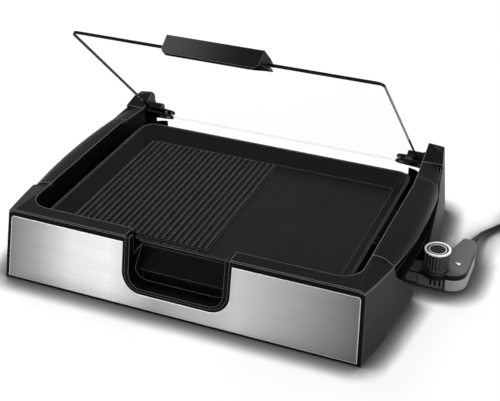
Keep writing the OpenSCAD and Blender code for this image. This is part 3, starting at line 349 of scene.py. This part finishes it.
world = bpy.data.worlds.new("surround")
world.use_nodes = True
bpy.context.scene.world = world
sky = world.node_tree
path = sky.nodes.new("ShaderNodeLightPath")
seen = sky.nodes.new("ShaderNodeMath")
seen.operation = "MAXIMUM"
sky.links.new(path.outputs["Is Camera Ray"], seen.inputs[0])
sky.links.new(path.outputs["Is Transmission Ray"], seen.inputs[1])
strength = sky.nodes.new("ShaderNodeMapRange")
strength.inputs["To Min"].default_value = SURROUND_ON_OBJECT
strength.inputs["To Max"].default_value = 1.0
sky.links.new(seen.outputs[0], strength.inputs["Value"])
sky.links.new(strength.outputs["Result"], sky.nodes["Background"].inputs["Strength"])
sky.nodes["Background"].inputs["Color"].default_value = (1, 1, 1, 1)


def softbox(name, place, target, side, watts):
    """A rectangular lamp at a place, turned to its target."""
    lamp = bpy.data.objects.new(name, bpy.data.lights.new(name, "AREA"))
    lamp.data.shape = "RECTANGLE"
    lamp.data.size, lamp.data.size_y = side
    lamp.data.energy = watts
    lamp.location = place
    lamp.rotation_euler = (Vector(target) - Vector(place)).to_track_quat("-Z", "Y").to_euler()
    bpy.context.scene.collection.objects.link(lamp)
    return lamp


rear = softbox("rear_softbox", (-1.0, 0.9, 1.8), (0.1, -0.1, 0), (0.9, 0.7), 40)
rear.visible_glossy = False
softbox("front_softbox", (-0.9, -1.7, 0.9), (-0.05, -0.1, 0.05), (1.0, 0.8), 9)
softbox("right_softbox", (1.6, -0.6, 0.9), (0.2, 0, 0.05), (0.8, 0.8), 8)


# ---------------------------------------------------------------------------------------------
# Housing and covers: one large dark grey moulding with hand recesses in its sides, closed on top
# by satin covers that are clipped on. Their corners are rounded by about a millimetre, and are
# painted light as a highlight.
# ---------------------------------------------------------------------------------------------
FLOW_MARKS = 9
GLOSS_PATCHES = 140
GRAIN = 2600
GRAIN_DEPTH = 0.00003


def moulded(name, colour, roughness, painted_edge_highlight, gain=3.2, radius=0.0011, sheen=0.3, shade=None,
            cover=None):
    """Injection-moulded plastic: fine grain, faint flow marks, and corners that catch the light and
    are also painted light as a highlight.

    A shade changes the colour under the painted corner highlights; the finishes use it for painted
    shade, a painted reflection and print. A cover is painted over them too."""
    finish = Finish(name, Specular_IOR_Level=sheen)
    corner = finish.rounded_normal(radius)
    cloud = finish.noise(FLOW_MARKS, 3)
    body = finish.blend(cloud, colour, tuple(1.3 * c for c in colour))
    if shade:
        body = shade(finish, body)
    # Painted highlight: corners are blended towards a light colour.
    body = finish.blend(finish.edges(corner) * gain, body, painted_edge_highlight)
    if cover:
        body = cover(finish, body)
    finish.feed("Base Color", body)
    finish.feed("Roughness", roughness + 0.1 * finish.noise(GLOSS_PATCHES, 3) - 0.05)
    finish.bump(finish.noise(GRAIN, 2), GRAIN_DEPTH, corner)
    return finish


SIDE_BULGE = 0.023
BULGE_Y = 0.207
BODY_HALF = 0.25
SIDE_DRAFT = math.tan(math.radians(5.3))
BOW = (BULGE_Y ** 2 + SIDE_BULGE ** 2) / (2 * SIDE_BULGE)
RECESS_X = 0.2455
RECESS_REAR = 0.33
RECESS_SHALLOW = 0.001
RECESS_DEEP = 0.003


def recess_painted_shade(finish, colour):
    """Painted shade in the hand recess: everything deeper than a millimetre or two in the side is
    painted near black.
    """
    x, y, z = finish.axes()
    along = y - BULGE_Y
    radius = BOW - z * SIDE_DRAFT
    side = (radius * radius - along * along) ** 0.5 + (BODY_HALF + SIDE_BULGE - BOW)
    depth = (side - x.size()).above(RECESS_SHALLOW, RECESS_DEEP)
    ahead = 1 - y.above(RECESS_REAR, RECESS_REAR + 0.005)
    place = x.size().above(RECESS_X - 0.001, RECESS_X) * ahead
    return finish.blend(depth * place, colour, (0.002, 0.002, 0.002))


housing_plastic = moulded("housing_plastic", (0.0105, 0.0105, 0.011), 0.5, (0.3, 0.3, 0.3),
                          gain=4.0, sheen=0.18, cover=recess_painted_shade)
wear(housing_plastic, "housing", "bottom_cover")


COVER_FACE_DEPTH = 0.03


def front_face_painted_shade(finish, colour):
    """Painted shade: the covers' front faces near the front are painted near black, like the fascia
    that they stand over.
    """
    back = finish.node("ShaderNodeSeparateXYZ", {}, {
        "Vector": finish.node("ShaderNodeNewGeometry", {}, {}, "True Normal")}, 1)
    y = finish.axes()[1]
    near = 1 - y.above(COVER_FACE_DEPTH, COVER_FACE_DEPTH + 0.001)
    front = (back * -1).above(0.9, 0.95) * near
    return finish.blend(front, colour, (0.0008, 0.0008, 0.0008))


cover_plastic = moulded("cover_plastic", (0.0042, 0.0042, 0.0046), 0.42, (0.42, 0.42, 0.43),
                        gain=4.5, radius=0.0013, sheen=0.12, shade=front_face_painted_shade)
wear(cover_plastic, "top_frame", "left_handle", "right_handle", "left_rear_block",
     "right_rear_block", "left_post", "right_post")

# ---------------------------------------------------------------------------------------------
# Feet and fasteners: four round rubber feet under the bottom cover, and zinc-plated steel screws,
# pins and clips that hold the grill, its lid and its control together.
# ---------------------------------------------------------------------------------------------
foot_rubber = soft_rubber("foot_rubber", (0.01, 0.01, 0.01), 0.7)
wear(foot_rubber, "rubber_feet")
zinc = plain_metal("zinc", (0.55, 0.55, 0.56), 0.3)
wear(zinc, "bottom_screws", "clamp_screws", "lid_handle_screws", "hinge_pins", "control_screws",
     "knob_shaft", "element_clips")

# ---------------------------------------------------------------------------------------------
# Front: a flat sheet of steel brushed from side to side, with smoothed edges that are painted white
# as a highlight. Bands of light and dark across it are a painted reflection. It is let into a
# polished black fascia that frames it.
# ---------------------------------------------------------------------------------------------
fascia_black = moulded("fascia_black", (0.001, 0.001, 0.001), 0.3, (0.02, 0.02, 0.02), sheen=0.06)
wear(fascia_black, "front_fascia")

panel_steel = Finish("panel_steel", Metallic=1.0)
HAIR_SCALE = 700
HAIR_STRETCH = (0.012, 1, 1)
HAIR_DEPTH = 0.00002
STREAK_SCALE = 60
STREAK_STRETCH = (0.05, 1, 1)
SHEET_EDGE = 0.002
hair = panel_steel.noise(HAIR_SCALE, 4, HAIR_STRETCH)
streak = panel_steel.noise(STREAK_SCALE, 3, STREAK_STRETCH)
across = panel_steel.axes()[0]
# Painted reflection: light and dark bands, set by place across the sheet's width, multiply its
# colour.
PAINTED_REFLECTION_BANDS = [(0.0, 0.2), (0.1, 0.44), (0.2, 0.86), (0.31, 0.97), (0.45, 0.48), (0.6, 0.54),
          (0.67, 0.64), (0.85, 0.38), (1.0, 0.15)]
painted_reflection_tone = panel_steel.node("ShaderNodeValToRGB", {"stops": [(p, (t, t, t)) for p, t in PAINTED_REFLECTION_BANDS]},
                        {"Fac": (across + BODY_HALF) * 2})
brushed = panel_steel.blend(0.6 * hair + 0.4 * streak, (0.7, 0.7, 0.7), (1.04, 1.04, 1.04))
steel_with_painted_reflection = panel_steel.node("ShaderNodeMix", {"data_type": "RGBA", "blend_type": "MULTIPLY"},
                          {"Factor": 1.0, "A": painted_reflection_tone, "B": brushed}, "Result")
bevel = panel_steel.rounded_normal(SHEET_EDGE)
# Painted highlight: the sheet's edges are blended to white.
panel_steel.feed("Base Color", panel_steel.blend(panel_steel.edges(bevel) * 12, steel_with_painted_reflection, (1, 1, 1)))
panel_steel.feed("Roughness", 0.3 + 0.14 * hair)
panel_steel.bump(hair, HAIR_DEPTH, bevel)
wear(panel_steel, "steel_panel")

# ---------------------------------------------------------------------------------------------
# Well: a black enamelled liner, the cast plate with its non-stick coating, and the heating tube
# that is clipped under it.
# ---------------------------------------------------------------------------------------------
liner_black = moulded("liner_black", (0.0015, 0.0015, 0.002), 0.55, (0.02, 0.02, 0.02), sheen=0.12)
wear(liner_black, "inner_liner")

PLATE_EDGE = 0.0012
FLECK_SCALE = 900.0
COATING_CLOUD = 14
COATING_SHEEN = 40
COATING_GRAIN = 1500
COATING_DEPTH = 0.00004
plate_coating = Finish("plate_coating", Specular_IOR_Level=0.16)
corner = plate_coating.rounded_normal(PLATE_EDGE)
fleck = plate_coating.node("ShaderNodeTexVoronoi", {}, {"Vector": plate_coating.place(),
                                                        "Scale": FLECK_SCALE})
body = plate_coating.blend(plate_coating.noise(COATING_CLOUD, 4), (0.0028, 0.003, 0.0034),
                           (0.0055, 0.006, 0.0065))
body = plate_coating.blend((1 - fleck) ** 30 * 0.5, body, (0.06, 0.06, 0.06))
# Painted highlight: the plate's edges are blended towards light grey.
plate_coating.feed("Base Color", plate_coating.blend(plate_coating.edges(corner) * 4, body,
                                                     (0.3, 0.3, 0.3)))
plate_coating.feed("Roughness", 0.34 + 0.14 * plate_coating.noise(COATING_SHEEN, 3))
plate_coating.bump(plate_coating.noise(COATING_GRAIN, 2), COATING_DEPTH, corner)
wear(plate_coating, "grill_plate")

sheath = plain_metal("sheath", (0.2, 0.19, 0.18), 0.45)
wear(sheath, "heating_element", "probe_rod")
ceramic = moulded("ceramic", (0.6, 0.58, 0.53), 0.7, (0.75, 0.73, 0.68))
wear(ceramic, "terminal_block")

# ---------------------------------------------------------------------------------------------
# Drip drawer: a black tray that slides in under the plate's lip, moulded in one piece with the
# finger recess that fills the notch of the front.
# ---------------------------------------------------------------------------------------------
drawer_black = moulded("drawer_black", (0.0018, 0.0018, 0.002), 0.36, (0.26, 0.26, 0.26), gain=4.0,
                       sheen=0.06)
wear(drawer_black, "drip_drawer")

# ---------------------------------------------------------------------------------------------
# Lid: clear tempered glass with ground edges, which look black from most sides. A black wedge of a
# handle is screwed to its front edge, and two black clamps hold it to the hinges.
# ---------------------------------------------------------------------------------------------
LID_OPEN = math.radians(44.5)
LID_PIVOT = (0.3735, 0.0935)
GLASS_REACH = 0.3
GLASS_SETBACK = 0.021
GROUND_BAND = 0.0018
GLASS_HALF = 0.2135
GROUND_SIDE = 0.0011
REAR_SHINE = 0.88
CLEAR_ALPHA = 0.02
lid_up = Vector((0, math.sin(LID_OPEN), math.cos(LID_OPEN)))
clear_glass = Finish("clear_glass", Roughness=0.05, IOR=1.5, Specular_IOR_Level=0.1)
facing = clear_glass.node("ShaderNodeVectorMath", {"operation": "DOT_PRODUCT"},
                          {0: clear_glass.node("ShaderNodeTexCoord", {}, {}, "Normal"),
                           1: tuple(lid_up)}, "Value")
x, y, z = clear_glass.axes()
reach = (LID_PIVOT[0] - y) * math.cos(LID_OPEN) + (z - LID_PIVOT[1]) * math.sin(LID_OPEN)
rear_edge = 1 - reach.above(-GLASS_SETBACK + 0.0001, -GLASS_SETBACK + 0.0008)
rim = (1 - (facing * facing).above(0.4, 0.6)) * (1 - REAR_SHINE * rear_edge)
ground = reach.above(GLASS_REACH - GROUND_BAND, GLASS_REACH - 0.8 * GROUND_BAND)
sides = x.size().above(GLASS_HALF - GROUND_SIDE, GLASS_HALF - 0.5 * GROUND_SIDE)
dark = 1 - (1 - rim) * (1 - ground) * (1 - sides)
clear_glass.feed("Base Color", clear_glass.blend(dark, (0.1, 0.11, 0.11), (0.002, 0.003, 0.003)))
clear_glass.feed("Alpha", CLEAR_ALPHA + 0.975 * dark)
wear(clear_glass, "lid_glass")


GRIP_FACE = (0, -0.54, 0.84)
GRIP_GREY_END = -0.075
GRIP_BLACK_START = 0.05


def grip_painted_reflection(finish, colour):
    """Painted reflection: the handle's broad face is painted from grey to black along its length.
    """
    out = finish.node("ShaderNodeVectorMath", {"operation": "DOT_PRODUCT"}, {
        0: finish.node("ShaderNodeTexCoord", {}, {}, "Normal"), 1: GRIP_FACE}, "Value")
    along = 1 - finish.axes()[0].above(GRIP_GREY_END, GRIP_BLACK_START)
    return finish.blend(out.above(0.9, 0.95), colour, finish.blend(along, (0.008, 0.008, 0.008),
                                                                   (0.06, 0.06, 0.061)))


grip_black = moulded("grip_black", (0.0012, 0.0012, 0.0012), 0.35, (0.3, 0.3, 0.3), sheen=0.08,
                     shade=grip_painted_reflection)
wear(grip_black, "lid_handle")
hinge_black = moulded("hinge_black", (0.002, 0.002, 0.002), 0.3, (0.08, 0.08, 0.08), sheen=0.15)
wear(hinge_black, "left_hinge_bracket", "right_hinge_bracket", "left_hinge_clamp",
     "right_hinge_clamp")

# ---------------------------------------------------------------------------------------------
# Plug-in control: a grey lower shell with cooling slots and a darker upper shell, screwed together
# round the thermostat switch. A clear pilot lens shows in the upper shell.
# ---------------------------------------------------------------------------------------------
SLOT_X = 0.291
SLOT_PITCH = 0.006
SLOT_HALF = 0.0016
SLOT_LOW = 0.0085
PAINT_BLUR = 0.0003
NECK_X = 0.303
NECK_SEAM_HALF = 0.0016
SHELL_FRONT = 0.195


def neck_and_slots(finish, colour):
    """The neck beside the body is darker, behind a seam, and its cooling slots are black."""
    x, y, z = finish.axes()
    front = 1 - y.above(SHELL_FRONT - 0.001, SHELL_FRONT)
    off = (((x - (SLOT_X - 1.5 * SLOT_PITCH)) % SLOT_PITCH) - SLOT_PITCH / 2).size()
    among = 1 - (x - SLOT_X).size().above(1.5 * SLOT_PITCH - 0.0002, 1.5 * SLOT_PITCH)
    slots = (1 - off.above(SLOT_HALF - PAINT_BLUR, SLOT_HALF)) * among * z.above(SLOT_LOW, 0.009)
    seam = 1 - (x - NECK_X).size().above(NECK_SEAM_HALF - PAINT_BLUR, NECK_SEAM_HALF)
    neck = finish.blend(1 - x.above(NECK_X, NECK_X + 0.0005), colour, (0.09, 0.09, 0.092))
    black = front * (slots + seam * (1 - slots))
    return finish.blend(black, neck, (0.001, 0.001, 0.001))


shell_grey = moulded("shell_grey", (0.26, 0.26, 0.265), 0.5, (0.8, 0.8, 0.8), gain=4.0,
                     cover=neck_and_slots)
wear(shell_grey, "control_lower_shell")

LENS_AT = (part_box("pilot_lens")[0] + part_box("pilot_lens")[1]) / 2 + ORIGIN
LENS_HALF = 0.0026
TAIL_LENGTH = 0.0085
TAIL_WAY = (-0.82, 0.57)
TAIL_BORDER = 0.0011
BORDER_LENGTH = 1.45 * TAIL_LENGTH


def shell_painted_shade_and_drop(finish, colour):
    """Painted shade: the upper shell's sides are painted black and its top grey. A white drop with
    a black border is printed on top at the lens.
    """
    up = finish.node("ShaderNodeSeparateXYZ", {}, {
        "Vector": finish.node("ShaderNodeNewGeometry", {}, {}, "True Normal")}, 2)
    x, y, _ = finish.axes()
    x = x - LENS_AT.x
    y = y - LENS_AT.y
    along = x * TAIL_WAY[0] + y * TAIL_WAY[1]
    aside = (x * TAIL_WAY[1] - y * TAIL_WAY[0]).size()
    beyond = along - aside * (-TAIL_LENGTH / LENS_HALF)
    drop = (1 - beyond.above(TAIL_LENGTH - 0.0004, TAIL_LENGTH)) * along.above(0.0, 0.0004)
    round_lens = 1 - ((x * x + y * y) ** 0.5).above(LENS_HALF + TAIL_BORDER - PAINT_BLUR,
                                                    LENS_HALF + TAIL_BORDER)
    border = 1 - beyond.above(BORDER_LENGTH - 0.0006, BORDER_LENGTH)
    border = border * along.above(0.0, 0.0004)
    top = finish.blend(border + round_lens * (1 - border), colour, (0.001, 0.001, 0.001))
    top = finish.blend(drop, top, (0.8, 0.8, 0.8))
    # Painted shade: faces that do not face up are painted black.
    return finish.blend(up.above(0.5, 0.6), (0.001, 0.001, 0.001), top)


shell_top = moulded("shell_top", (0.115, 0.115, 0.117), 0.5, (0.12, 0.12, 0.12), gain=0.3,
                    sheen=0.15, shade=shell_painted_shade_and_drop)
wear(shell_top, "control_upper_shell")
switch_brown = moulded("switch_brown", (0.12, 0.06, 0.03), 0.6, (0.2, 0.1, 0.05))
wear(switch_brown, "thermostat_switch")
lens_clear = Finish("lens_clear", Roughness=0.15)
lens_clear.feed("Base Color", lens_clear.blend(lens_clear.noise(300), (0.85, 0.84, 0.82),
                                               (0.95, 0.95, 0.95)))
wear(lens_clear, "pilot_lens")

# ---------------------------------------------------------------------------------------------
# Knob: a tall ribbed knob and its cap in glossy black, pushed onto the thermostat's shaft. A thin
# white ring is printed on the cap, and a pale ring lies round it.
# ---------------------------------------------------------------------------------------------
KNOB_AXIS = ((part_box("knob_cap")[0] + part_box("knob_cap")[1]) / 2).xy
DIAL_RING = 0.0112
DIAL_RING_WIDTH = 0.0013
CAP_TOP = 0.0565


def dial_ring(finish, colour):
    """A thin white ring printed on the knob's cap."""
    x, y, z = finish.axes()
    x = x - (KNOB_AXIS.x + ORIGIN.x)
    y = y - (KNOB_AXIS.y + ORIGIN.y)
    off = ((x * x + y * y) ** 0.5 - DIAL_RING).size()
    on_top = z.above(CAP_TOP, CAP_TOP + 0.0005)
    return finish.blend((1 - off.above(DIAL_RING_WIDTH / 2 - 0.0001, DIAL_RING_WIDTH / 2)) * on_top,
                        colour, (0.75, 0.75, 0.75))


knob_black = moulded("knob_black", (0.003, 0.003, 0.003), 0.28, (0.16, 0.16, 0.16), shade=dial_ring)
wear(knob_black, "temperature_knob", "knob_cap")
ring_white = moulded("ring_white", (0.8, 0.8, 0.8), 0.3, (0.95, 0.95, 0.95))
wear(ring_white, "knob_ring")

# ---------------------------------------------------------------------------------------------
# Colour: the standard view transform.
# ---------------------------------------------------------------------------------------------
bpy.context.scene.view_settings.view_transform = "Standard"
